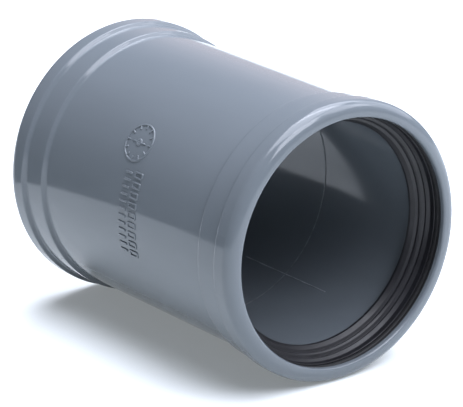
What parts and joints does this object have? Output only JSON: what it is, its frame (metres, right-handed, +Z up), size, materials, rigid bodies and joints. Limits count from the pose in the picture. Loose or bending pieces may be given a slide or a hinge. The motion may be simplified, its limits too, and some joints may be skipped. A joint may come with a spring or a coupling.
{
  "type": "push fit pipe coupling",
  "caption": "Straight double-socket drain coupling: a plain round body with a stepped, rounded rim and a ribbed lip seal in each open end.",
  "frame": {"origin": "middle of the coupling's length, on the bore axis", "axes": "+X along the bore, out of the front mouth; +Z up with the coupling lying on its side; the raised marks are on the -Y side"},
  "size_m": [0.164, 0.1254, 0.1254],
  "materials": {
    "body_plastic": "satin grey injection-moulded PVC",
    "seal_rubber": "smooth black rubber",
    "ring_plastic": "matt black polypropylene"
  },
  "bodies": {
    "root": {"coupling_body": "body_plastic", "front_lip_seal": "seal_rubber", "front_support_ring": "ring_plastic", "rear_lip_seal": "seal_rubber", "rear_support_ring": "ring_plastic"}
  },
  "joints": []
}
